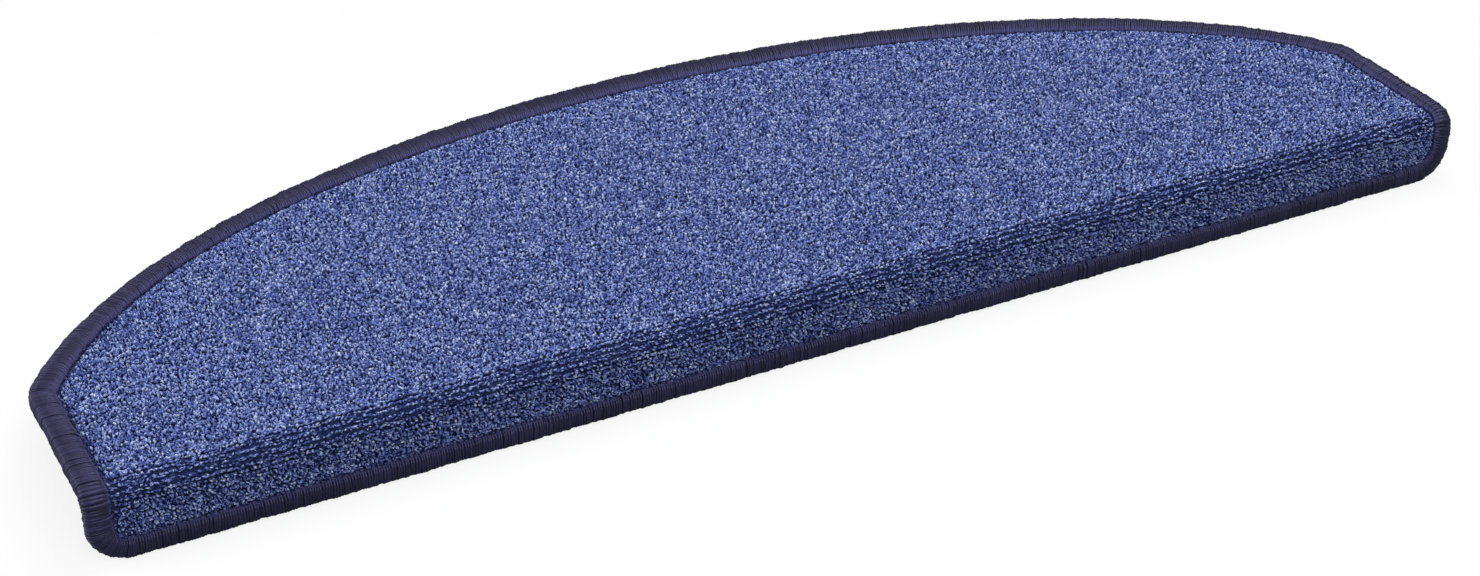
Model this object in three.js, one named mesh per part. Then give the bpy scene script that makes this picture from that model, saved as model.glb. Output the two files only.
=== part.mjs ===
// Half-round stair tread mat: loop-pile carpet bent down over the stair's nosing, its edge overlocked in yarn.
// Millimetres. +X runs along the nosing, +Y to the back of the tread, +Z up.
// The origin is the middle of the flat underside, which rests on the tread.
import * as THREE from "three";

// Overall sizes, over the yarn
const width = 650; // between the two straight sides
const depth = 215; // front of the lip to the back of the arc
const height = 35; // top of the yarn to the bottom of the lip

// Outline of the flat blank
const rearRise = 198; // half height of the ellipse that the back edge follows
const rearOverhang = 16.5; // how far that ellipse would run past each straight side
const shoulderRadius = 5; // corner of the full pile between the back edge and a straight side
const lipRadius = 4.5; // lower corner of the full pile on the lip

// Carpet
const carpetThickness = 5; // pile and backing together
const bendRadius = 3; // inside radius where the carpet turns down over the nosing
const pressedThickness = 3; // carpet squeezed flat under the yarn
const pressedSlope = 2; // width of the slope from the squeezed edge up to the full pile
const tuftPitch = 2.9; // spacing of the tuft rows where the bend opens them
const tuftDepth = 1; // depth of the furrow between two opened rows

// Overlocked yarn
const yarnCover = 10.2; // how far the yarn reaches in from the edge, on both faces
const yarnThickness = 8; // over both faces at its crown
const yarnLift = 0.5; // how far the yarn's middle lies above the carpet's, as it swells on the pile side
const yarnWall = 1.8; // yarn outside the carpet's cut edge
const yarnTurns = [25, 55, 90, 135]; // degrees round the section, from the edge over the crown, of its corners
const yarnSquareness = 0.75; // 1 for an oval section, less for a squarer one
const wrapPitch = 7.6; // one bundle of wraps along the edge
const wrapDepth = 0.45; // groove between two bundles
const seatGap = 0.3; // clearance between the yarn and the carpet that it grips

// Fineness of the round stretches
const cornerSteps = 9;
const rearSteps = 56;

const halfWidth = width / 2;
const carpetHalf = carpetThickness / 2;
const pressedHalf = pressedThickness / 2;
const yarnHalf = yarnThickness / 2;
const yarnCrown = yarnHalf + yarnLift;
const pileInset = yarnCover + seatGap + pressedSlope;
const neutralRadius = bendRadius + carpetHalf;
const bendLength = (neutralRadius * Math.PI) / 2;
const tuftRows = Math.max(1, Math.round(((bendRadius + carpetThickness) * Math.PI) / 2 / tuftPitch));
const bendSteps = 2 * tuftRows;

// The blank is drawn flat. Its u runs across the width and its v from front to back, with v = 0 where the
// flat tread ends and the bend begins.
const nosingY = neutralRadius + yarnCrown - depth / 2;
const rearV = depth / 2 - nosingY;
const frontV = yarnCrown + neutralRadius - bendLength - height;

// Bends a point of the blank that lies above its middle layer by offset
function fold(point, offset) {
  const turn = THREE.MathUtils.clamp(-point.y / neutralRadius, 0, Math.PI / 2);
  const radius = neutralRadius + offset;
  const onTread = Math.max(0, point.y);
  const downLip = Math.max(0, -point.y - bendLength);
  return new THREE.Vector3(
    point.x,
    nosingY + onTread - radius * Math.sin(turn),
    carpetHalf - neutralRadius + radius * Math.cos(turn) - downLip,
  );
}

// Right half of the back edge, from an angle above the X axis up to its middle
function rearCurve(angle) {
  return new THREE.EllipseCurve(0, rearV - rearRise, halfWidth + rearOverhang, rearRise, angle, Math.PI / 2);
}

// Point at a share of a curve's length, moved to its inner side
function insetPoint(curve, share, inset) {
  const tangent = curve.getTangentAt(share);
  return curve.getPointAt(share).add(new THREE.Vector2(-tangent.y, tangent.x).multiplyScalar(inset));
}

// Angle at which a corner of this radius, tangent to a straight side, meets the back edge
function shoulderAngle(inset, radius) {
  let low = 0;
  let high = Math.PI / 2;
  for (let i = 0; i < 40; i++) {
    const middle = (low + high) / 2;
    if (insetPoint(rearCurve(middle), 0, inset + radius).x > halfWidth - inset - radius) low = middle;
    else high = middle;
  }
  return high;
}

// Right half of the blank's outline, moved inwards by inset, as five stretches from the middle of the front
// edge to the middle of the back edge. Each stretch gives its point at a share from 0 to 1. The corners share
// their centres with the pile's.
function outline(inset) {
  const side = halfWidth - inset;
  const front = frontV + inset;
  const lipCorner = lipRadius + pileInset - inset;
  const shoulder = shoulderRadius + pileInset - inset;
  const rear = rearCurve(shoulderAngle(inset, shoulder));
  const shoulderCentre = insetPoint(rear, 0, inset + shoulder);
  const meeting = insetPoint(rear, 0, inset);
  const shoulderTurn = Math.atan2(meeting.y - shoulderCentre.y, meeting.x - shoulderCentre.x);
  const lipCentre = new THREE.Vector2(side - lipCorner, front + lipCorner);
  const round = (centre, radius, angle) =>
    new THREE.Vector2(Math.cos(angle), Math.sin(angle)).multiplyScalar(radius).add(centre);
  return [
    (share) => new THREE.Vector2(lipCentre.x * share, front),
    (share) => round(lipCentre, lipCorner, (share - 1) * (Math.PI / 2)),
    (share) => new THREE.Vector2(side, THREE.MathUtils.lerp(lipCentre.y, shoulderCentre.y, share)),
    (share) => round(shoulderCentre, shoulder, share * shoulderTurn),
    (share) => insetPoint(rear, share, inset),
  ];
}

// Shares along the straight side where the bend needs a row of points: at its two ends and at each furrow
function bendShares() {
  const side = outline(0)[2];
  const low = side(0).y;
  const high = side(1).y;
  const shares = [];
  for (let i = bendSteps; i >= 0; i--) shares.push(((-bendLength * i) / bendSteps - low) / (high - low));
  return shares.filter((share) => share > 0 && share < 1);
}

// Stations of the carpet's edge on the right half, each a stretch and a share along it
function carpetStations() {
  const stations = [];
  for (let i = 0; i < cornerSteps; i++) stations.push({ stretch: 1, share: i / cornerSteps });
  stations.push({ stretch: 2, share: 0 });
  for (const share of bendShares()) stations.push({ stretch: 2, share });
  for (let i = 0; i < cornerSteps; i++) stations.push({ stretch: 3, share: i / cornerSteps });
  for (let i = 0; i <= rearSteps / 2; i++) stations.push({ stretch: 4, share: (2 * i) / rearSteps });
  return stations;
}

// Closed mesh from points and triangles
function solid(points, triangles) {
  const geometry = new THREE.BufferGeometry().setFromPoints(points);
  geometry.setIndex(triangles);
  geometry.computeVertexNormals();
  return geometry;
}

// Furrow depth at a place of the bend: full between two tuft rows, nothing on them or off the bend
function furrow(v) {
  if (v >= 0 || v <= -bendLength) return 0;
  const step = (-v / bendLength) * bendSteps;
  return tuftDepth * (1 - Math.abs((step % 2) - 1));
}

// The carpet: one blank with a squeezed edge, its two faces closed by strips from side to side
function carpetGeometry() {
  const squeezed = yarnCover + seatGap;
  const cut = yarnWall + seatGap;
  const edge = [
    { inset: pileInset, offset: carpetHalf, pile: true },
    { inset: squeezed, offset: pressedHalf },
    { inset: cut, offset: pressedHalf },
    { inset: cut, offset: -pressedHalf },
    { inset: squeezed, offset: -pressedHalf },
    { inset: pileInset, offset: -carpetHalf },
  ];
  const rows = edge.length;
  const stations = carpetStations();
  const points = [];
  const lines = edge.map(({ inset }) => outline(inset));
  const addStation = ({ stretch, share }, mirror) => {
    edge.forEach(({ offset, pile }, row) => {
      const flat = lines[row][stretch](share);
      const folded = fold(flat, offset - (pile ? furrow(flat.y) : 0));
      points.push(new THREE.Vector3(mirror * folded.x, folded.y, folded.z));
    });
  };
  for (const station of stations) addStation(station, 1);
  for (const station of stations.slice(0, -1).reverse()) addStation(station, -1);
  const count = points.length / rows;
  const at = (station, row) => (station % count) * rows + row;
  const triangles = [];
  for (let i = 0; i < count; i++) {
    for (let row = 0; row < rows - 1; row++) {
      const [a, b, c, d] = [at(i, row), at(i + 1, row), at(i + 1, row + 1), at(i, row + 1)];
      triangles.push(a, c, b, a, d, c);
    }
  }
  const last = stations.length - 1;
  for (let i = 0; i < last; i++) {
    const [right, rightNext, leftNext, left] = [i, i + 1, count - 2 - i, count - 1 - i];
    for (const [row, turned] of [[0, false], [rows - 1, true]]) {
      const corners = [right, rightNext, leftNext, left].map((station) => at(station, row));
      if (turned) corners.reverse();
      const [a, b, c, d] = corners;
      triangles.push(a, b, d);
      if (rightNext !== leftNext) triangles.push(b, c, d);
    }
  }
  return solid(points, triangles);
}

// Length of each stretch of the outer line, by short chords
function stretchLengths() {
  const chords = 400;
  return outline(0).map((stretch) => {
    let length = 0;
    for (let i = 0; i < chords; i++) length += stretch(i / chords).distanceTo(stretch((i + 1) / chords));
    return length;
  });
}

// Stations of the yarn on the right half: the crest and the groove of every bundle, and the bend's own rows
function yarnStations() {
  const lengths = stretchLengths();
  const total = lengths.reduce((sum, length) => sum + length, 0);
  const bundles = Math.round(total / wrapPitch);
  const stations = [];
  let before = 0;
  lengths.forEach((length, stretch) => {
    for (let i = 0; i <= 2 * bundles; i++) {
      const along = (total * i) / (2 * bundles);
      const share = (along - before) / length;
      if (share >= 0 && share < 1) stations.push({ stretch, share, along, groove: i % 2 });
    }
    if (stretch === 2) {
      for (const share of bendShares()) {
        const along = before + share * length;
        const step = ((along / total) * 2 * bundles) % 2;
        stations.push({ stretch, share, along, groove: 1 - Math.abs(step - 1) });
      }
    }
    before += length;
  });
  stations.push({ stretch: lengths.length - 1, share: 1, along: total, groove: 0 });
  return stations.sort((a, b) => a.along - b.along);
}

// Corner of the yarn's outer face at an angle round its section, sunk in where two bundles meet. The side is 1
// over the pile and -1 under the backing.
function yarnCorner(degrees, side, sunk) {
  const squared = (value) => Math.sign(value) * Math.abs(value) ** yarnSquareness;
  const across = (angle) => squared(Math.cos(THREE.MathUtils.degToRad(angle)));
  const reach = across(degrees) / across(yarnTurns[0]);
  const swell = squared(Math.sin(THREE.MathUtils.degToRad(degrees)));
  return {
    inset: (yarnCover / 2) * (1 - reach) + sunk * Math.max(0, reach),
    offset: yarnLift + side * (yarnHalf - sunk) * swell,
  };
}

// The yarn's section, a rounded C, from its inner end on the pile round the edge to the backing and back inside
function yarnSection(sunk) {
  const inner = pressedHalf + seatGap;
  return [
    { inset: yarnCover, offset: inner },
    ...yarnTurns.map((degrees) => yarnCorner(degrees, 1, sunk)).reverse(),
    ...yarnTurns.map((degrees) => yarnCorner(degrees, -1, sunk)),
    { inset: yarnCover, offset: -inner },
    { inset: yarnWall, offset: -inner },
    { inset: yarnWall, offset: inner },
  ];
}

// The yarn: the section gripping the squeezed carpet edge, swept round the outline and bent with it
function yarnGeometry() {
  const crests = yarnSection(0);
  const grooves = yarnSection(wrapDepth);
  const rows = crests.length;
  const crestLines = crests.map(({ inset }) => outline(inset));
  const grooveLines = grooves.map(({ inset }) => outline(inset));
  const stations = yarnStations();
  const points = [];
  const addStation = ({ stretch, share, groove }, mirror) => {
    crests.forEach(({ offset }, row) => {
      const flat = crestLines[row][stretch](share).lerp(grooveLines[row][stretch](share), groove);
      const folded = fold(flat, THREE.MathUtils.lerp(offset, grooves[row].offset, groove));
      points.push(new THREE.Vector3(mirror * folded.x, folded.y, folded.z));
    });
  };
  for (const station of stations) addStation(station, 1);
  for (const station of stations.slice(1, -1).reverse()) addStation(station, -1);
  const count = points.length / rows;
  const at = (station, row) => (station % count) * rows + (row % rows);
  const triangles = [];
  for (let i = 0; i < count; i++) {
    for (let row = 0; row < rows; row++) {
      const [a, b, c, d] = [at(i, row), at(i + 1, row), at(i + 1, row + 1), at(i, row + 1)];
      triangles.push(a, c, b, a, d, c);
    }
  }
  return solid(points, triangles);
}

function piece(name, geometry, material) {
  const mesh = new THREE.Mesh(geometry, new THREE.MeshStandardMaterial(material));
  mesh.name = name;
  return mesh;
}

const group = new THREE.Group();
group.add(piece("carpet_tread", carpetGeometry(), { color: 0x57648f, roughness: 0.95, metalness: 0 }));
group.add(piece("serged_edge", yarnGeometry(), { color: 0x2a283c, roughness: 0.7, metalness: 0 }));

export default group;
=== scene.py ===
# Half-round stair tread mat: loop pile carpet turned down over the nosing, its edge overlocked in dark
# yarn, laid level with the lip hanging.
# Metres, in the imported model's own frame: +X along the nosing, +Y to the back of the tread, +Z up.
import math
import bpy
import numpy as np
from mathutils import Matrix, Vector
from mathutils.kdtree import KDTree


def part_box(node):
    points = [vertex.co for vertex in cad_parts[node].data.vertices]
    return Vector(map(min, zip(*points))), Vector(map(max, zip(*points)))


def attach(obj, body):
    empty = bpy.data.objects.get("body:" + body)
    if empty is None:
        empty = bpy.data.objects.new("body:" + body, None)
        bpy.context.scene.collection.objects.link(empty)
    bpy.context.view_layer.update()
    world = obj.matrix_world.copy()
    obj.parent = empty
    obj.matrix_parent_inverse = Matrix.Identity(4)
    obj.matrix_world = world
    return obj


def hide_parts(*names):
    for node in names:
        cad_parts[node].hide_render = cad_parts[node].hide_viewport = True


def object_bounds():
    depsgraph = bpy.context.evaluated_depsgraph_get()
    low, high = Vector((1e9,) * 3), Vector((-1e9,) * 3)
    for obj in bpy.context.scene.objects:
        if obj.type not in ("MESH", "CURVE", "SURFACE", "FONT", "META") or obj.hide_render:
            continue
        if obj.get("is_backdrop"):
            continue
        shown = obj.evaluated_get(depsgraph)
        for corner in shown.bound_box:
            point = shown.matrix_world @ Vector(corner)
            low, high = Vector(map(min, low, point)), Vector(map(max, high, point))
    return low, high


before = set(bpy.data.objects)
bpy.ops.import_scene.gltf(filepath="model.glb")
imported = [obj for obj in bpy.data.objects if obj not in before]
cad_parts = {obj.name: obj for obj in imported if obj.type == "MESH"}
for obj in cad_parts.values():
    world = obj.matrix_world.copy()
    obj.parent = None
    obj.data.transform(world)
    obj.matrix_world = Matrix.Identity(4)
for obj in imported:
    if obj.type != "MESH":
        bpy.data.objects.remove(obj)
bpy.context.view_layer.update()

MM = 0.001

# Carpet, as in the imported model
CARPET_HALF = 2.5 * MM  # half of pile and backing together
BEND_RADIUS = 3.0 * MM  # inside radius of the turn over the nosing
NEUTRAL_RADIUS = BEND_RADIUS + CARPET_HALF
BEND_LENGTH = NEUTRAL_RADIUS * math.pi / 2
REAR_RISE = 198.0 * MM  # half height of the ellipse that the back edge follows
REAR_OVERHANG = 16.5 * MM  # how far that ellipse would run past each straight side
SHOULDER_RADIUS = 17.5 * MM
LIP_RADIUS = 17.0 * MM
EDGE_STEP = 0.25 * MM  # between the points that the edge is drawn with

# Pile: rows of loops parallel to the nosing, trodden into a close nap on the tread
NAP_PITCH = 1.1 * MM
NAP_SWAY = 0.2 * MM  # how far the lines of loops waver, for each length in SWAY_LENGTHS
NAP_SCATTER = 0.34 * MM
ROW_PITCH = 2.0 * MM
ROW_PHASE = -3.7 * MM  # one row runs here on the bend
ROW_LOOP_PITCH = 1.15 * MM  # from loop to loop along a row
ROW_SWAY = 0.15 * MM
ROW_SCATTER = np.array([0.4, 0.15]) * MM  # along the row and across it
ROW_HALF_LIP = 0.23  # half the spread of a row's pair of lines, in row pitches: closed up on the lip
ROW_HALF_BEND = 0.13  # and parted on the bend
ROWS_START = 1.0 * MM  # behind the bend, where the rows begin to be trodden together
ROWS_END = 7.0 * MM  # and where the nap hides them
ROWS_THINNED = 0.9  # share of the loops that one kind of line gives up to the other between the two
GAPING_REACH = 6.5 * MM  # the bend opens the rows this far to either side of ROW_PHASE
GAPING_SHARE = 0.14  # and so many loops leave a gap there
ASTRAY_LIP = 0.9  # how far loops turn out of their row, in radians
ASTRAY_BEND = 0.4
SWAY_LENGTHS = (9 * MM, 17 * MM, 31 * MM)
PILE_FOOT = 0.4 * MM  # top of the backing under the loops, above the middle layer
PILE_TOP = 2.5 * MM
PILE_UNEVENNESS = 0.15 * MM
TRODDEN_DOWN = 0.3 * MM
SEAM_WIDTH = 2.4 * MM  # over which the pile rises to its full height beside the yarn
SEAM_DEPTH = 1.7 * MM  # how far the yarn presses it down there, which also deepens the pile's painted shade there into a dark line
SEAM_DEPTH_LIP = 1.0 * MM
BEAD_SIZE = np.array([0.95, 0.43, 1.2]) * MM  # half of one loop's length, width and height
BEAD_SPREAD = np.array([0.15, 0.15, 0.08])
BEAD_LEAN = 0.28
PILE_STRIPS = 6

# Overlocked yarn
YARN_COVER = 11.0 * MM  # how far the yarn reaches in from the edge, as a rule
LIP_COVER = 8.4 * MM  # and along the bottom of the lip
# The machine laid the yarn unevenly, widest behind the middle and narrow at the right end: its cover at
# these places across the mat
COVER_PLACES = np.array([-325, -300, -255, -200, -147, -94, -14, 142, 213, 276, 311, 325]) * MM
COVERS = np.array([11.0, 10.3, 9.2, 9.4, 11.3, 12.2, 12.4, 11.8, 10.8, 8.8, 7.8, 8.2]) * MM
YARN_HALF = 4.0 * MM  # half the height of its section
YARN_LIFT = 0.5 * MM  # how far the yarn's middle lies above the carpet's
YARN_SQUARENESS = 0.55  # 1 for an oval section, less for a squarer one
YARN_SLOPE = 0.8  # the same where the yarn slopes down to the pile, away from the lip
WRAP_PITCH = 1.1 * MM  # from turn to turn
WRAP_JITTER = 0.09  # in pitches
WRAP_WIDTH = 1.6 * MM
WRAP_CREST = 0.34 * MM  # how far one turn stands out
WRAP_LENGTH = 34 * MM  # of thread in one turn, for the pattern along it
LIP_STRETCH = 0.4  # more of it along the lip
WRAP_ANGLES = [180, 158, 136, 112, 88, 52, 20, -8, -35, -75, -120, -168]  # degrees round the section
WRAP_UNEVENNESS = 0.045 * MM
BUNCH_START = 0.22  # share of the turns that start a new bunch
BUNCH_SIZE = 4  # turns in a usual bunch
BUNCH_SWELL = 0.12 * MM
BUNCH_FULLEST = 1.2  # times the usual swell
BUNCH_SINK = 0.08 * MM
PUFF_LONG = (45 * MM, 0.28 * MM)  # the roll's own waves: length and height
PUFF_SHORT = (7 * MM, 0.3 * MM)
SLANT = 0.5 * MM  # of a turn along the edge, from its inner end to its outer
SLANT_WAVE = (60 * MM, 0.35 * MM)
BUNCH_SLANT = 0.18 * MM
SEAM_WAVE = (30 * MM, 0.3 * MM)  # of the turns' inner ends
SEAM_SCATTER = 0.15 * MM
STITCH_PITCH = 2.3 * MM
STITCH_JITTER = 0.12  # in pitches
STITCH_SIZE = np.array([0.95, 0.42, 0.4]) * MM  # half of one knot's length, width and height
STITCH_SPREAD = 0.12
STITCH_INSET = 0.1 * MM  # past the yarn's inner end
STITCH_HEIGHT = 1.5 * MM  # above the carpet's middle layer
STITCH_SCATTER = 0.2 * MM
STITCH_ASTRAY = 0.3  # radians
PAST_PALE_OFFSET = 10 * MM  # down the yarn's pattern, past its pale first stretch of caught pile fibres and painted highlight

yarn_low, yarn_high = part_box("serged_edge")
HALF_WIDTH = yarn_high.x
NOSING_Y = yarn_low.y + YARN_HALF + YARN_LIFT + NEUTRAL_RADIUS
BEND_CENTRE_Z = CARPET_HALF - NEUTRAL_RADIUS
REAR_V = yarn_high.y - NOSING_Y
FRONT_V = yarn_low.z - BEND_CENTRE_Z - BEND_LENGTH

chance = np.random.default_rng(11)


# The blank is drawn flat, u across and v from front to back, with v = 0 where the tread ends and the bend
# begins. A point of the carpet has u, v and its height above the middle layer.
def surface_turn(v):
    return np.clip(-v / NEUTRAL_RADIUS, 0.0, math.pi / 2)


def fold(flat):
    """Bends points (u, v, height) of the blank over the nosing."""
    u, v, height = flat[..., 0], flat[..., 1], flat[..., 2]
    turn = surface_turn(v)
    radius = NEUTRAL_RADIUS + height
    y = NOSING_Y + np.maximum(v, 0.0) - radius * np.sin(turn)
    z = BEND_CENTRE_Z + radius * np.cos(turn) - np.maximum(-v - BEND_LENGTH, 0.0)
    return np.stack([u, y, z], axis=-1)


def unfold(points):
    """Gives points of the bent carpet their u, v and height on the blank."""
    ahead = NOSING_Y - points[:, 1]
    above = points[:, 2] - BEND_CENTRE_Z
    turn = np.clip(np.arctan2(ahead, above), 0.0, math.pi / 2)
    on_tread = ahead <= 0.0
    down_lip = (ahead > 0.0) & (above < 0.0)
    v = np.where(on_tread, -ahead, -turn * NEUTRAL_RADIUS)
    v = np.where(down_lip, above - BEND_LENGTH, v)
    height = np.hypot(ahead, above) - NEUTRAL_RADIUS
    height = np.where(on_tread, above - NEUTRAL_RADIUS, height)
    height = np.where(down_lip, ahead - NEUTRAL_RADIUS, height)
    return np.stack([points[:, 0], v, height], axis=-1)


def rear_point(angle):
    """Point of the back edge's ellipse, and its inward normal."""
    wide = HALF_WIDTH + REAR_OVERHANG
    point = np.stack([wide * np.cos(angle), REAR_V - REAR_RISE + REAR_RISE * np.sin(angle)], axis=-1)
    normal = -np.stack([REAR_RISE * np.cos(angle), wide * np.sin(angle)], axis=-1)
    return point, normal / np.linalg.norm(normal, axis=-1, keepdims=True)


def shoulder_angle():
    """Angle on the ellipse where the shoulder's corner leaves it, found by halving."""
    low, high = 0.0, math.pi / 2
    for _ in range(40):
        middle = (low + high) / 2
        point, normal = rear_point(middle)
        if point[0] + normal[0] * SHOULDER_RADIUS > HALF_WIDTH - SHOULDER_RADIUS:
            low = middle
        else:
            high = middle
    return high


def edge_line(step):
    """Points and inward normals all round the blank's edge at an even step, from the front's middle, and
    the edge's length."""
    leaving = shoulder_angle()
    point, normal = rear_point(leaving)
    shoulder = point + normal * SHOULDER_RADIUS
    lip = np.array([HALF_WIDTH - LIP_RADIUS, FRONT_V + LIP_RADIUS])
    lip_turn = np.linspace(-math.pi / 2, 0.0, 120)
    shoulder_turn = np.linspace(0.0, math.atan2(-normal[1], -normal[0]), 120)
    lip_corner = lip + LIP_RADIUS * np.stack([np.cos(lip_turn), np.sin(lip_turn)], axis=-1)
    shoulder_corner = shoulder + SHOULDER_RADIUS * np.stack(
        [np.cos(shoulder_turn), np.sin(shoulder_turn)], axis=-1
    )
    rear = rear_point(np.linspace(leaving, math.pi / 2, 1500))[0]
    right = np.concatenate([[[0.0, FRONT_V]], lip_corner, shoulder_corner, rear])
    whole = np.concatenate([right, right[-2:0:-1] * [-1.0, 1.0], right[:1]])
    gone = np.concatenate([[0.0], np.cumsum(np.linalg.norm(np.diff(whole, axis=0), axis=1))])
    count = round(gone[-1] / step)
    at = np.arange(count) * gone[-1] / count
    points = np.stack([np.interp(at, gone, whole[:, 0]), np.interp(at, gone, whole[:, 1])], axis=-1)
    along = np.roll(points, -1, axis=0) - np.roll(points, 1, axis=0)
    along /= np.linalg.norm(along, axis=1, keepdims=True)
    return points, np.stack([-along[:, 1], along[:, 0]], axis=-1), gone[-1]


EDGE_POINTS, EDGE_NORMALS, EDGE_LENGTH = edge_line(EDGE_STEP)
# 0 along the bottom of the lip, 1 from the top of its corners on
UP_THE_CORNER = np.clip((EDGE_POINTS[:, 1] - FRONT_V) / LIP_RADIUS, 0.0, 1.0)
EDGE_COVER = LIP_COVER + (np.interp(EDGE_POINTS[:, 0], COVER_PLACES, COVERS) - LIP_COVER) * UP_THE_CORNER


def from_edge(along, inset):
    """Points of the blank at a length along its edge and an inset from it."""
    place = along / EDGE_LENGTH * len(EDGE_POINTS)
    lower = np.floor(place).astype(int)
    share = (place - lower)[..., None]
    lower = lower % len(EDGE_POINTS)
    upper = (lower + 1) % len(EDGE_POINTS)
    point = EDGE_POINTS[lower] * (1 - share) + EDGE_POINTS[upper] * share
    normal = EDGE_NORMALS[lower] * (1 - share) + EDGE_NORMALS[upper] * share
    return point + normal * np.asarray(inset)[..., None]


def on_edge(values, along):
    """Looks up values held for the edge's points at lengths along the edge."""
    return values[np.round(along / EDGE_LENGTH * len(EDGE_POINTS)).astype(int) % len(EDGE_POINTS)]


def past_yarn(flat):
    """How far points (u, v) of the blank lie in from the yarn's inner end."""
    tree = KDTree(len(EDGE_POINTS))
    for i, point in enumerate(EDGE_POINTS):
        tree.insert((point[0], point[1], 0.0), i)
    tree.balance()
    nearest = np.array([tree.find((u, v, 0.0))[1] for u, v in flat])
    return ((flat - EDGE_POINTS[nearest]) * EDGE_NORMALS[nearest]).sum(axis=1) - EDGE_COVER[nearest]


def waves_along(values, wavelength, height):
    """Gentle random waviness of this height along the edge, closed on itself."""
    waves = [round(EDGE_LENGTH / wavelength * share) for share in (0.6, 1.0, 1.7, 2.3)]
    total = sum(np.sin(2 * math.pi * (values / EDGE_LENGTH * n + chance.random())) for n in waves)
    return total / len(waves) * height


# Meshes
def new_mesh(name, points, faces, attributes=None):
    """Object of this name from arrays of points and faces, shaded smooth."""
    mesh = bpy.data.meshes.new(name)
    mesh.vertices.add(len(points))
    mesh.vertices.foreach_set("co", np.ascontiguousarray(points, dtype=np.float32).ravel())
    mesh.loops.add(faces.size)
    mesh.loops.foreach_set("vertex_index", np.ascontiguousarray(faces, dtype=np.int32).ravel())
    mesh.polygons.add(len(faces))
    mesh.polygons.foreach_set("loop_start", np.arange(0, faces.size, faces.shape[1], dtype=np.int32))
    mesh.update(calc_edges=True)
    mesh.shade_smooth()
    made = bpy.data.objects.new(name, mesh)
    bpy.context.scene.collection.objects.link(made)
    for label, values in (attributes or {}).items():
        add_attribute(made, label, values)
    return made


def add_attribute(piece, label, values):
    """Gives a piece's points an attribute that its material reads."""
    kind, field = ("FLOAT", "value") if values.ndim == 1 else ("FLOAT_VECTOR", "vector")
    attribute = piece.data.attributes.new(label, kind, "POINT")
    attribute.data.foreach_set(field, np.ascontiguousarray(values, dtype=np.float32).ravel())


def select_none():
    if bpy.context.object is not None and bpy.context.object.mode == "EDIT":
        bpy.ops.object.mode_set(mode="OBJECT")
    bpy.ops.object.select_all(action="DESELECT")


def take_template():
    """Points and triangles of the object in hand, which is then removed."""
    bpy.ops.object.mode_set(mode="EDIT")
    bpy.ops.mesh.select_all(action="SELECT")
    bpy.ops.mesh.quads_convert_to_tris()
    bpy.ops.object.mode_set(mode="OBJECT")
    model = bpy.context.object
    points = np.array([vertex.co[:] for vertex in model.data.vertices])
    faces = np.array([face.vertices[:] for face in model.data.polygons])
    bpy.data.objects.remove(model)
    return points, faces


def knot_template():
    """One small knot, 20 faces: a bead drawn in towards its foot."""
    select_none()
    bpy.ops.mesh.primitive_ico_sphere_add(subdivisions=1, radius=1.0)
    bpy.ops.object.mode_set(mode="EDIT")
    bpy.ops.mesh.select_all(action="DESELECT")
    bpy.ops.object.mode_set(mode="OBJECT")
    for vertex in bpy.context.object.data.vertices:
        vertex.select = vertex.co.z < -0.2
    bpy.ops.object.mode_set(mode="EDIT")
    bpy.ops.transform.resize(value=(0.8, 0.8, 1.0))
    bpy.ops.object.mode_set(mode="OBJECT")
    return take_template()


def bead_template():
    """Top of one pile loop, 8 faces: a low point over four shoulders, drawn in towards its foot."""
    select_none()
    bpy.ops.mesh.primitive_cone_add(
        vertices=4, radius1=0.9, radius2=0.0, depth=0.5, end_fill_type="TRIFAN", location=(0.0, 0.0, 0.75)
    )
    bpy.ops.object.transform_apply(location=True)
    bpy.ops.object.mode_set(mode="EDIT")
    bpy.ops.mesh.select_all(action="DESELECT")
    bpy.ops.object.mode_set(mode="OBJECT")
    for vertex in bpy.context.object.data.vertices:
        vertex.select = vertex.co.z < 0.6 and vertex.co.xy.length < 0.1
    bpy.ops.object.mode_set(mode="EDIT")
    bpy.ops.transform.translate(value=(0.0, 0.0, -1.5))
    bpy.ops.object.mode_set(mode="OBJECT")
    return take_template()


def place_beads(template, centres, sizes, turn, lean):
    """Copies of a bead set on the blank at centres (u, v, height), turned, leaned and kept rigid on the
    bend. Gives their points, faces and attributes: the place on the blank, the place along and across the
    bead's own strand, and one random shade for each bead."""
    points, faces = template
    local = points[None, :, :] * sizes[:, None, :]
    strand = local.copy()
    cos, sin = np.cos(turn)[:, None], np.sin(turn)[:, None]
    u = local[..., 0] * cos - local[..., 1] * sin
    v = local[..., 0] * sin + local[..., 1] * cos
    height = local[..., 2]
    u = u + height * lean[:, 0, None]
    v = v + height * lean[:, 1, None]
    local = np.stack([u, v, height], axis=-1)
    tilt = surface_turn(centres[:, 1])[:, None]
    bent = np.stack(
        [u, v * np.cos(tilt) - height * np.sin(tilt), v * np.sin(tilt) + height * np.cos(tilt)], axis=-1
    )
    placed = fold(centres)[:, None, :] + bent
    flat = centres[:, None, :] + local
    copies = faces[None] + (np.arange(len(centres)) * len(points))[:, None, None]
    own = chance.random(len(centres))
    strand[..., 2] = own[:, None]
    places = {
        "flat_place": flat.reshape(-1, 3),
        "strand_place": strand.reshape(-1, 3),
        "loop_shade": np.repeat(own, len(points)),
    }
    return placed.reshape(-1, 3), copies.reshape(-1, 3), places


# Carpet
def pile_lines():
    """Where the loops' lines run, as v: a nap of close lines on the tread, and rows in pairs of lines
    before it."""
    nap = np.arange(ROWS_START, REAR_V, NAP_PITCH)
    first = math.floor((FRONT_V - ROW_PHASE) / ROW_PITCH)
    last = math.floor((ROWS_END - ROW_PHASE) / ROW_PITCH)
    rows = ROW_PHASE + ROW_PITCH * np.arange(first, last + 1)
    apart = np.where(rows < ROW_PHASE - BEND_LENGTH, ROW_HALF_LIP, ROW_HALF_BEND) * ROW_PITCH
    return nap, (rows[:, None] + apart[:, None] * [-1, 1]).ravel()


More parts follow.
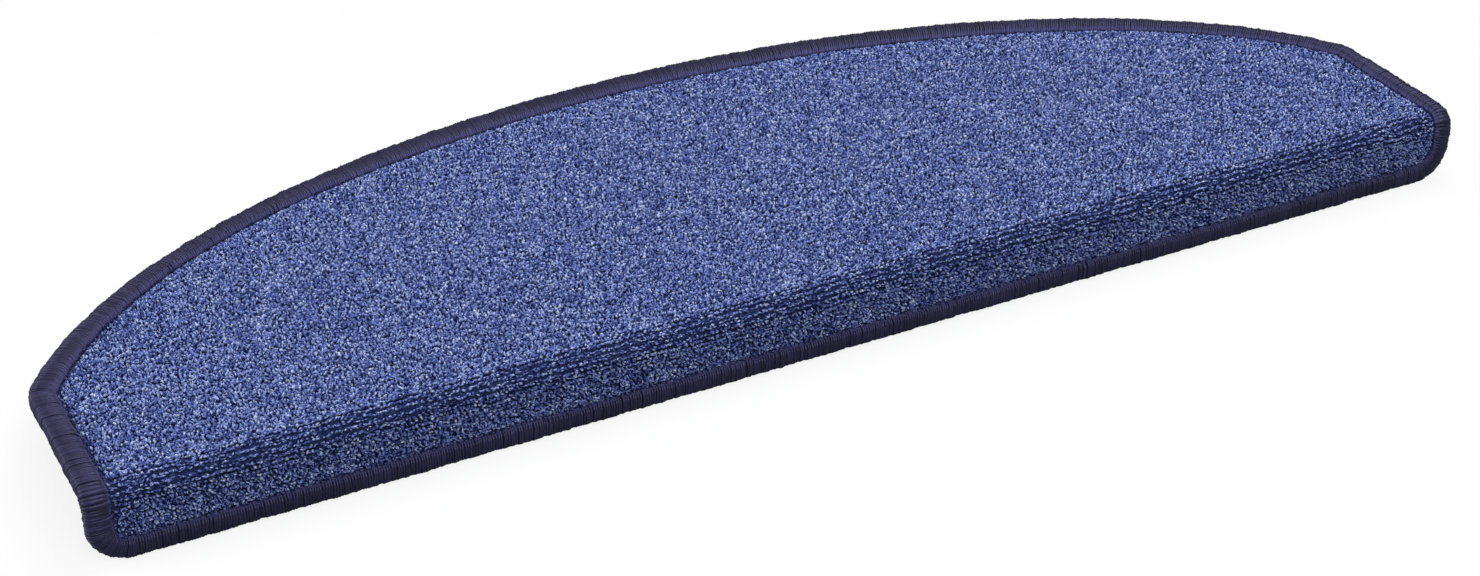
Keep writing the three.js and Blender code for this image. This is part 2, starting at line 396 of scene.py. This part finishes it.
def along_lines(lines, pitch, sway):
    """Places (u, v) at a pitch along gently wavering lines at these v."""
    v, u = np.meshgrid(lines, np.arange(-HALF_WIDTH, HALF_WIDTH, pitch), indexing="ij")
    u = u + (chance.random(len(lines)) * pitch)[:, None]
    start = chance.random((3, len(lines), 1)) * 2 * math.pi
    for k, length in enumerate(SWAY_LENGTHS):
        v = v + sway * np.sin(u * 2 * math.pi / length + start[k])
    return np.stack([u.ravel(), v.ravel()], axis=-1)


def pile_pieces():
    """The loops, in strips across the mat."""
    nap_lines, row_lines = pile_lines()
    nap = along_lines(nap_lines, NAP_PITCH, NAP_SWAY)
    rows = along_lines(row_lines, ROW_LOOP_PITCH, ROW_SWAY)
    nap = nap + chance.normal(size=nap.shape) * NAP_SCATTER
    rows = rows + chance.normal(size=rows.shape) * ROW_SCATTER
    flat = np.concatenate([nap, rows])
    in_row = np.arange(len(flat)) >= len(nap)
    inside = past_yarn(flat)
    trodden = np.clip((flat[:, 1] - ROWS_START) / (ROWS_END - ROWS_START), 0.0, 1.0)
    fade = np.where(in_row, trodden, 1 - trodden)
    missing = fade * ROWS_THINNED
    gaping = in_row & (np.abs(flat[:, 1] - ROW_PHASE) < GAPING_REACH)
    missing = np.where(gaping, np.maximum(missing, GAPING_SHARE), missing)
    kept = (inside > 0.0) & (chance.random(len(flat)) > missing)
    flat, in_row, inside, fade = flat[kept], in_row[kept], inside[kept], fade[kept]
    count = len(flat)
    grown = np.clip(inside / SEAM_WIDTH, 0.0, 1.0)
    by_the_lip = flat[:, 1] < FRONT_V + LIP_COVER + SEAM_WIDTH
    pressed = (1 - grown) * np.where(by_the_lip, SEAM_DEPTH_LIP, SEAM_DEPTH)
    top = PILE_TOP - pressed - fade * TRODDEN_DOWN + chance.normal(size=count) * PILE_UNEVENNESS
    centres = np.stack([flat[:, 0], flat[:, 1], top - BEAD_SIZE[2]], axis=-1)
    sizes = BEAD_SIZE * (1 + chance.normal(size=(count, 3)) * BEAD_SPREAD)
    astray = np.where(flat[:, 1] < -BEND_LENGTH, ASTRAY_LIP, ASTRAY_BEND)
    turn = np.where(in_row, chance.normal(size=count) * astray, chance.random(count) * math.pi)
    lean = chance.normal(size=(count, 2)) * BEAD_LEAN
    strip = np.clip((flat[:, 0] / HALF_WIDTH + 1) / 2 * PILE_STRIPS, 0, PILE_STRIPS - 1).astype(int)
    template = bead_template()
    made = []
    for number in range(PILE_STRIPS):
        at = strip == number
        beads = place_beads(template, centres[at], sizes[at], turn[at], lean[at])
        made.append(new_mesh(f"pile_strip_{number + 1}", *beads))
    return made


def backing_piece():
    """The sheet that the loops stand on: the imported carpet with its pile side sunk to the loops' feet."""
    select_none()
    made = bpy.data.objects.new("carpet_backing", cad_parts["carpet_tread"].data.copy())
    bpy.context.scene.collection.objects.link(made)
    made.select_set(True)
    bpy.context.view_layer.objects.active = made
    bpy.ops.object.mode_set(mode="EDIT")
    bpy.ops.mesh.select_all(action="SELECT")
    bpy.ops.mesh.remove_doubles(threshold=0.01 * MM)
    bpy.ops.object.mode_set(mode="OBJECT")
    count = len(made.data.vertices)
    points = np.empty(count * 3, dtype=np.float32)
    made.data.vertices.foreach_get("co", points)
    flat = unfold(points.reshape(-1, 3).astype(float))
    flat[:, 2] = np.minimum(flat[:, 2], PILE_FOOT)
    made.data.vertices.foreach_set("co", fold(flat).astype(np.float32).ravel())
    add_attribute(made, "flat_place", flat)
    add_attribute(made, "strand_place", flat)
    add_attribute(made, "loop_shade", np.zeros(count))
    made.data.update()
    made.data.materials.clear()
    return made, flat


def paint_backing(backing, flat, pile, latex):
    """The pile's material on the upper face, between the loops, where it renders as the painted shade at
    the loops' feet, and the coating on the rest.
    """
    backing.data.materials.append(latex)
    backing.data.materials.append(pile)
    # The upper face lies below the pile's painted shade and so takes its dark navy
    for face in backing.data.polygons:
        face.material_index = int(all(flat[i, 2] > 0.5 * PILE_FOOT for i in face.vertices))


# Overlocked edge
def wrap_template(rings):
    """One turn of yarn laid straight, four-sided: X along the mat's edge, Y off its surface, Z down its
    length."""
    select_none()
    bpy.ops.mesh.primitive_cylinder_add(vertices=4, radius=1.0, depth=1.0, location=(0.0, 0.0, 0.5))
    bpy.ops.object.transform_apply(location=True)
    model = bpy.context.object
    bpy.ops.object.mode_set(mode="EDIT")
    bpy.ops.mesh.select_mode(type="EDGE")
    bpy.ops.mesh.select_all(action="DESELECT")
    bpy.ops.object.mode_set(mode="OBJECT")
    for edge in model.data.edges:
        ends = [model.data.vertices[i].co for i in edge.vertices]
        edge.select = abs(ends[0].z - ends[1].z) > 0.5
    bpy.ops.object.mode_set(mode="EDIT")
    bpy.ops.mesh.subdivide(number_cuts=rings - 2)
    bpy.ops.mesh.select_mode(type="VERT")
    bpy.ops.object.mode_set(mode="OBJECT")
    return take_template()


def wrap_path(pile_side):
    """The yarn's line round the edge, from the pile side to the underside: its share of the cover, its
    height and its normals. pile_side is the squareness where it goes down to the pile."""
    angles = np.radians(WRAP_ANGLES)
    squareness = np.where(angles > math.pi / 2, pile_side, YARN_SQUARENESS)
    across = np.sign(np.cos(angles)) * np.abs(np.cos(angles)) ** squareness
    rise = np.sign(np.sin(angles)) * np.abs(np.sin(angles)) ** squareness
    half = YARN_COVER / 2
    inset = half - (half - WRAP_CREST) * across
    height = YARN_LIFT + (YARN_HALF - WRAP_CREST) * rise
    path = np.stack([inset, height], axis=-1)
    along = np.gradient(path, axis=0)
    along /= np.linalg.norm(along, axis=1, keepdims=True)
    normals = np.stack([along[:, 1], -along[:, 0]], axis=-1)
    return np.concatenate([path / [YARN_COVER, 1.0], normals], axis=1)


def edge_wraps():
    """The turns of yarn all round the edge, as one piece."""
    rings = len(WRAP_ANGLES)
    points, faces = wrap_template(rings)
    ring = np.rint(points[:, 2] * (rings - 1)).astype(int)
    count = round(EDGE_LENGTH / WRAP_PITCH)
    number = np.arange(count)
    start = (number + chance.normal(size=count) * WRAP_JITTER) * EDGE_LENGTH / count
    # Drawn square to the pile along the lip, sloping down to it elsewhere
    up = on_edge(UP_THE_CORNER, start)[:, None, None]
    path = (wrap_path(YARN_SQUARENESS) * (1 - up) + wrap_path(YARN_SLOPE) * up)[:, ring]
    share, heights, normals = path[..., 0], path[..., 1], path[..., 2:]
    # Turns lie in bunches: each bunch swells in its middle and has its own slant
    bunch = np.cumsum(chance.random(count) < BUNCH_START)
    bunch = bunch - bunch[0]
    first, size = np.unique(bunch, return_index=True, return_counts=True)[1:]
    within = (number - first[bunch] + 0.5) / size[bunch]
    fullness = np.minimum(size[bunch] / BUNCH_SIZE, BUNCH_FULLEST)
    rise = np.sin(within * math.pi) * fullness * BUNCH_SWELL - BUNCH_SINK
    rise = rise + chance.normal(size=count) * WRAP_UNEVENNESS
    puff = waves_along(start, *PUFF_LONG) + waves_along(start, *PUFF_SHORT)
    slant = SLANT + waves_along(start, *SLANT_WAVE)
    slant = slant + chance.normal(size=count)[bunch] * BUNCH_SLANT
    sway = waves_along(start, *SEAM_WAVE) + chance.normal(size=count) * SEAM_SCATTER
    side = np.where(normals[..., 1] >= 0, 1.0, -1.0)
    along = start[:, None] + points[:, 0] * WRAP_WIDTH / 2 + slant[:, None] * (share - 0.5) * side
    off = points[:, 1] * WRAP_CREST + rise[:, None] + puff[:, None]
    inset = share * on_edge(EDGE_COVER, start)[:, None] + off * normals[..., 0]
    inset = inset + sway[:, None] * np.clip(share * 2 - 1, 0.0, 1.0)
    height = heights + off * normals[..., 1]
    flat = np.concatenate([from_edge(along, inset), height[..., None]], axis=-1)
    copies = faces[None] + (number * len(points))[:, None, None]
    shade = np.repeat((chance.random(count) + chance.random(count)[bunch]) / 2, len(points))
    # Along the lip the pattern is counted longer, so that the pale first stretch, with its painted
    # highlight, is narrower there
    down_length = points[:, 2] * WRAP_LENGTH * (1 + LIP_STRETCH * (1 - up[..., 0]))
    lengthwise = np.stack([along.ravel(), down_length.ravel(), shade], axis=-1)
    attributes = {"yarn_place": lengthwise, "loop_shade": shade}
    return new_mesh("edge_wraps", fold(flat).reshape(-1, 3), copies.reshape(-1, 3), attributes)


def seam_stitches():
    """Small knots of the overlock's needle thread along the inner end of the turns."""
    template = knot_template()
    count = round(EDGE_LENGTH / STITCH_PITCH)
    along = (np.arange(count) + chance.normal(size=count) * STITCH_JITTER) * EDGE_LENGTH / count
    inset = on_edge(EDGE_COVER, along) + STITCH_INSET + chance.normal(size=count) * STITCH_SCATTER
    flat = from_edge(along, inset)
    ahead = from_edge(along + 0.5 * MM, inset) - from_edge(along - 0.5 * MM, inset)
    height = STITCH_HEIGHT + chance.normal(size=(count, 1)) * STITCH_SCATTER
    centres = np.concatenate([flat, height], axis=-1)
    sizes = STITCH_SIZE * (1 + STITCH_SPREAD * chance.normal(size=(count, 3)))
    turn = np.arctan2(ahead[:, 1], ahead[:, 0]) + chance.normal(size=count) * STITCH_ASTRAY
    points, faces, places = place_beads(template, centres, sizes, turn, np.zeros((count, 2)))
    # Along the lip they take the yarn's pale first stretch, caught pile fibres and painted highlight;
    # elsewhere they are set past it
    past_pale = np.repeat(on_edge(UP_THE_CORNER, along), len(template[0]))
    places["yarn_place"] = places["strand_place"] + past_pale[:, None] * [0.0, PAST_PALE_OFFSET, 0.0]
    return new_mesh("seam_stitches", points, faces, places)


# Materials
def linear(code):
    """sRGB hex colour as linear red, green, blue and alpha."""
    parts = [int(code[i:i + 2], 16) / 255 for i in (1, 3, 5)]
    return [x / 12.92 if x <= 0.04045 else ((x + 0.055) / 1.055) ** 2.4 for x in parts] + [1.0]


def new_material(name):
    made = bpy.data.materials.new(name)
    made.use_nodes = True
    made.node_tree.nodes.clear()
    return made, made.node_tree


def add_node(tree, kind, inputs=None, stops=None, **settings):
    """Adds a node: settings are its properties, inputs are values or sockets by name or number."""
    made = tree.nodes.new(kind)
    for label, value in settings.items():
        setattr(made, label, value)
    for label, value in (inputs or {}).items():
        if isinstance(value, bpy.types.NodeSocket):
            tree.links.new(value, made.inputs[label])
        else:
            made.inputs[label].default_value = value
    for i, (place, code) in enumerate(stops or []):
        stop = made.color_ramp.elements[i] if i < 2 else made.color_ramp.elements.new(place)
        stop.position = place
        stop.color = linear(code)
    return made


def finish_material(tree, shader):
    add_node(tree, "ShaderNodeOutputMaterial", {"Surface": shader.outputs[0]})


def loop_pile_material():
    """Solution-dyed polypropylene loops of light and dark blue filaments: a matt heather of pale and navy
    flecks, the pale ones partly painted fibre highlights, with painted shade darker down between the loops."""
    made, tree = new_material("polypropylene_loop_pile")
    place = add_node(tree, "ShaderNodeAttribute", attribute_name="flat_place")
    shade = add_node(tree, "ShaderNodeAttribute", attribute_name="loop_shade")
    strand = add_node(tree, "ShaderNodeAttribute", attribute_name="strand_place")
    # Single filaments are 0.05 mm, too fine to show, so light and dark streaks are drawn along each loop,
    # 0.8 mm wide and 1.8 mm long
    stretched = add_node(
        tree, "ShaderNodeMapping",
        {"Vector": strand.outputs["Vector"], "Scale": (1 / (1.8 * MM), 1 / (0.8 * MM), 60.0)},
    )
    fleck = add_node(
        tree, "ShaderNodeTexNoise",
        {"Vector": stretched.outputs["Vector"], "Scale": 1.0, "Detail": 1.5, "Roughness": 0.6},
    )
    patch = add_node(
        tree, "ShaderNodeTexNoise",
        {"Vector": place.outputs["Vector"], "Scale": 1 / (9.0 * MM), "Detail": 1.0},
    )
    own = add_node(
        tree, "ShaderNodeMath",
        {0: shade.outputs["Fac"], 1: 0.24, 2: -0.12}, operation="MULTIPLY_ADD",
    )
    with_own = add_node(tree, "ShaderNodeMath", {0: fleck.outputs["Fac"], 1: own.outputs[0]})
    soft = add_node(
        tree, "ShaderNodeMath",
        {0: patch.outputs["Fac"], 1: 0.12, 2: -0.06}, operation="MULTIPLY_ADD",
    )
    mixed = add_node(tree, "ShaderNodeMath", {0: with_own.outputs[0], 1: soft.outputs[0]})
    # The pale flecks are partly the filaments' own light tone and partly painted fibre highlights
    heather = add_node(
        tree, "ShaderNodeValToRGB", {"Fac": mixed.outputs[0]},
        stops=[
            (0.30, "#1a295f"),
            (0.72, "#cfdcff"),
            (0.42, "#4e62aa"),
            (0.52, "#7386ca"),
            (0.62, "#9fb0e6"),
        ],
    )
    # Painted shade: the lower a point lies in the pile, the more its colour is mixed towards the dark navy
    # of the shade between the loops
    depth = add_node(tree, "ShaderNodeSeparateXYZ", {"Vector": place.outputs["Vector"]})
    open_to_light = add_node(
        tree, "ShaderNodeMapRange",
        {"Value": depth.outputs["Z"], "From Min": 0.6 * MM, "From Max": 2.1 * MM, "To Min": 0.25},
    )
    colour = add_node(
        tree, "ShaderNodeMix",
        {0: open_to_light.outputs[0], 6: linear("#101c4a"), 7: heather.outputs["Color"]},
        data_type="RGBA",
    )
    fibre = add_node(
        tree, "ShaderNodeTexNoise",
        {"Vector": place.outputs["Vector"], "Scale": 1 / (0.7 * MM), "Detail": 2.0, "Roughness": 0.6},
    )
    bump = add_node(
        tree, "ShaderNodeBump",
        {"Height": fibre.outputs["Fac"], "Strength": 0.9, "Distance": 0.5 * MM},
    )
    shader = add_node(
        tree, "ShaderNodeBsdfPrincipled",
        {
            "Base Color": colour.outputs[2],
            "Roughness": 0.85,
            "IOR": 1.49,
            "Specular IOR Level": 0.25,
            "Normal": bump.outputs["Normal"],
        },
    )
    finish_material(tree, shader)
    return made


def latex_material():
    """Carpet backing coated with filled latex: matt, dull dark grey, with the grain of the weave under
    it."""
    made, tree = new_material("latex_coated_backing")
    place = add_node(tree, "ShaderNodeAttribute", attribute_name="flat_place")
    # The backing's threads are 1.6 mm apart
    weave = add_node(
        tree, "ShaderNodeTexNoise",
        {"Vector": place.outputs["Vector"], "Scale": 1 / (1.6 * MM), "Detail": 3.0},
    )
    colour = add_node(
        tree, "ShaderNodeValToRGB", {"Fac": weave.outputs["Fac"]},
        stops=[(0.3, "#2f3032"), (0.7, "#4b4c4e")],
    )
    bump = add_node(
        tree, "ShaderNodeBump",
        {"Height": weave.outputs["Fac"], "Strength": 0.6, "Distance": 0.4 * MM},
    )
    shader = add_node(
        tree, "ShaderNodeBsdfPrincipled",
        {
            "Base Color": colour.outputs["Color"],
            "Roughness": 0.8,
            "IOR": 1.5,
            "Normal": bump.outputs["Normal"],
        },
    )
    finish_material(tree, shader)
    return made


def overlock_yarn_material():
    """Textured polyamide overlock yarn laid turn by turn: dark navy with a soft satin sheen along each
    turn."""
    made, tree = new_material("polyamide_overlock_yarn")
    place = add_node(tree, "ShaderNodeAttribute", attribute_name="yarn_place")
    shade = add_node(tree, "ShaderNodeAttribute", attribute_name="loop_shade")
    # Filaments run down each turn: drawn 0.7 mm wide and 6 mm long, coarser than the real 0.03 mm
    stretched = add_node(
        tree, "ShaderNodeMapping",
        {"Vector": place.outputs["Vector"], "Scale": (1 / (0.7 * MM), 1 / (6.0 * MM), 40.0)},
    )
    filament = add_node(
        tree, "ShaderNodeTexNoise", {"Vector": stretched.outputs["Vector"], "Scale": 1.0, "Detail": 2.0},
    )
    mixed = add_node(
        tree, "ShaderNodeMath",
        {0: shade.outputs["Fac"], 1: 0.35, 2: filament.outputs["Fac"]}, operation="MULTIPLY_ADD",
    )
    colour = add_node(
        tree, "ShaderNodeValToRGB", {"Fac": mixed.outputs[0]},
        stops=[(0.4, "#131120"), (0.9, "#302b4c"), (0.66, "#1f1c31")],
    )
    # Each turn's first stretch, from the seam, is paled: partly pile fibres caught between the turns,
    # partly a painted highlight and a painted reflection of the blue pile
    down = add_node(tree, "ShaderNodeSeparateXYZ", {"Vector": place.outputs["Vector"]})
    fibres_and_highlight_fade = add_node(
        tree, "ShaderNodeMapRange",
        {"Value": down.outputs["Y"], "From Min": 2.5 * MM, "From Max": 7.0 * MM},
    )
    whole = add_node(
        tree, "ShaderNodeMix",
        {0: fibres_and_highlight_fade.outputs[0], 6: linear("#545585"), 7: colour.outputs["Color"]},
        data_type="RGBA",
    )
    bump = add_node(
        tree, "ShaderNodeBump",
        {"Height": filament.outputs["Fac"], "Strength": 0.5, "Distance": 0.25 * MM},
    )
    shader = add_node(
        tree, "ShaderNodeBsdfPrincipled",
        {
            "Base Color": whole.outputs[2],
            "Roughness": 0.5,
            "IOR": 1.53,
            "Specular IOR Level": 0.85,
            "Specular Tint": linear("#bdbdff"),
            "Normal": bump.outputs["Normal"],
        },
    )
    finish_material(tree, shader)
    return made


def studio_floor_material():
    """Matt studio floor, pale grey to the light that it throws back on the mat. The camera sees it white,
    with the mat's shadow kept."""
    made, tree = new_material("matt_studio_floor")
    matt = add_node(tree, "ShaderNodeBsdfDiffuse", {"Color": linear("#9c9c9c")})
    pale = add_node(tree, "ShaderNodeBsdfDiffuse", {"Color": linear("#f8f8f8")})
    white = add_node(tree, "ShaderNodeEmission", {"Color": linear("#ffffff"), "Strength": 1.0})
    seen = add_node(tree, "ShaderNodeMixShader", {0: 0.85, 1: pale.outputs[0], 2: white.outputs[0]})
    rays = add_node(tree, "ShaderNodeLightPath")
    shader = add_node(
        tree, "ShaderNodeMixShader",
        {0: rays.outputs["Is Camera Ray"], 1: matt.outputs[0], 2: seen.outputs[0]},
    )
    finish_material(tree, shader)
    return made


# Stage
def studio_world():
    world = bpy.data.worlds.new("studio")
    bpy.context.scene.world = world
    world.use_nodes = True
    tree = world.node_tree
    tree.nodes.clear()
    rays = add_node(tree, "ShaderNodeLightPath")
    soft = add_node(tree, "ShaderNodeBackground", {"Color": linear("#ffffff"), "Strength": 0.22})
    white = add_node(tree, "ShaderNodeBackground", {"Color": linear("#ffffff"), "Strength": 1.0})
    mixed = add_node(
        tree, "ShaderNodeMixShader",
        {0: rays.outputs["Is Camera Ray"], 1: soft.outputs[0], 2: white.outputs[0]},
    )
    add_node(tree, "ShaderNodeOutputWorld", {"Surface": mixed.outputs[0]})


def area_light(name, location, target, size, power):
    data = bpy.data.lights.new(name, "AREA")
    data.shape = "DISK"
    data.size = size
    data.energy = power
    lamp = bpy.data.objects.new(name, data)
    lamp.location = location
    lamp.rotation_euler = (Vector(target) - Vector(location)).to_track_quat("-Z", "Y").to_euler()
    bpy.context.scene.collection.objects.link(lamp)


def studio():
    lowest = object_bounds()[0][2]
    select_none()
    bpy.ops.mesh.primitive_plane_add(size=8.0, location=(0.0, 0.0, lowest))
    floor = bpy.context.object
    floor.name = "studio_floor"
    floor.data.materials.append(studio_floor_material())
    floor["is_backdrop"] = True
    studio_world()
    middle = (0.0, 0.0, 0.0)
    area_light("top_softbox", (0.6, 0.2, 1.45), middle, size=1.2, power=14.9)
    area_light("front_softbox", (-0.2, -1.1, 1.15), middle, size=0.7, power=10.0)
    area_light("left_softbox", (-1.3, 0.3, 0.5), (-0.2, 0.0, 0.0), size=0.8, power=8.5)


def camera():
    data = bpy.data.cameras.new("camera")
    data.sensor_width = 36.0
    data.lens = 63.795
    seen = bpy.data.objects.new("camera", data)
    seen.location = (-0.4735, -0.90919, 0.57828)
    target = Vector((-0.01786, -0.04363, -0.02645))
    seen.rotation_euler = (target - seen.location).to_track_quat("-Z", "Y").to_euler()
    bpy.context.scene.collection.objects.link(seen)
    bpy.context.scene.camera = seen


# The mat
def build_mat():
    pile = loop_pile_material()
    yarn = overlock_yarn_material()
    backing, flat = backing_piece()
    paint_backing(backing, flat, pile, latex_material())
    pile_parts = pile_pieces()
    wraps = edge_wraps()
    stitches = seam_stitches()
    for part in pile_parts:
        part.data.materials.append(pile)
    for piece in (wraps, stitches):
        piece.data.materials.append(yarn)
        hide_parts("serged_edge")
    for piece in [backing] + pile_parts:
        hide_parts("carpet_tread")
    for piece in [backing, wraps, stitches] + pile_parts:
        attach(piece, "root")


camera()
build_mat()
studio()
bpy.context.scene.view_settings.view_transform = "Standard"
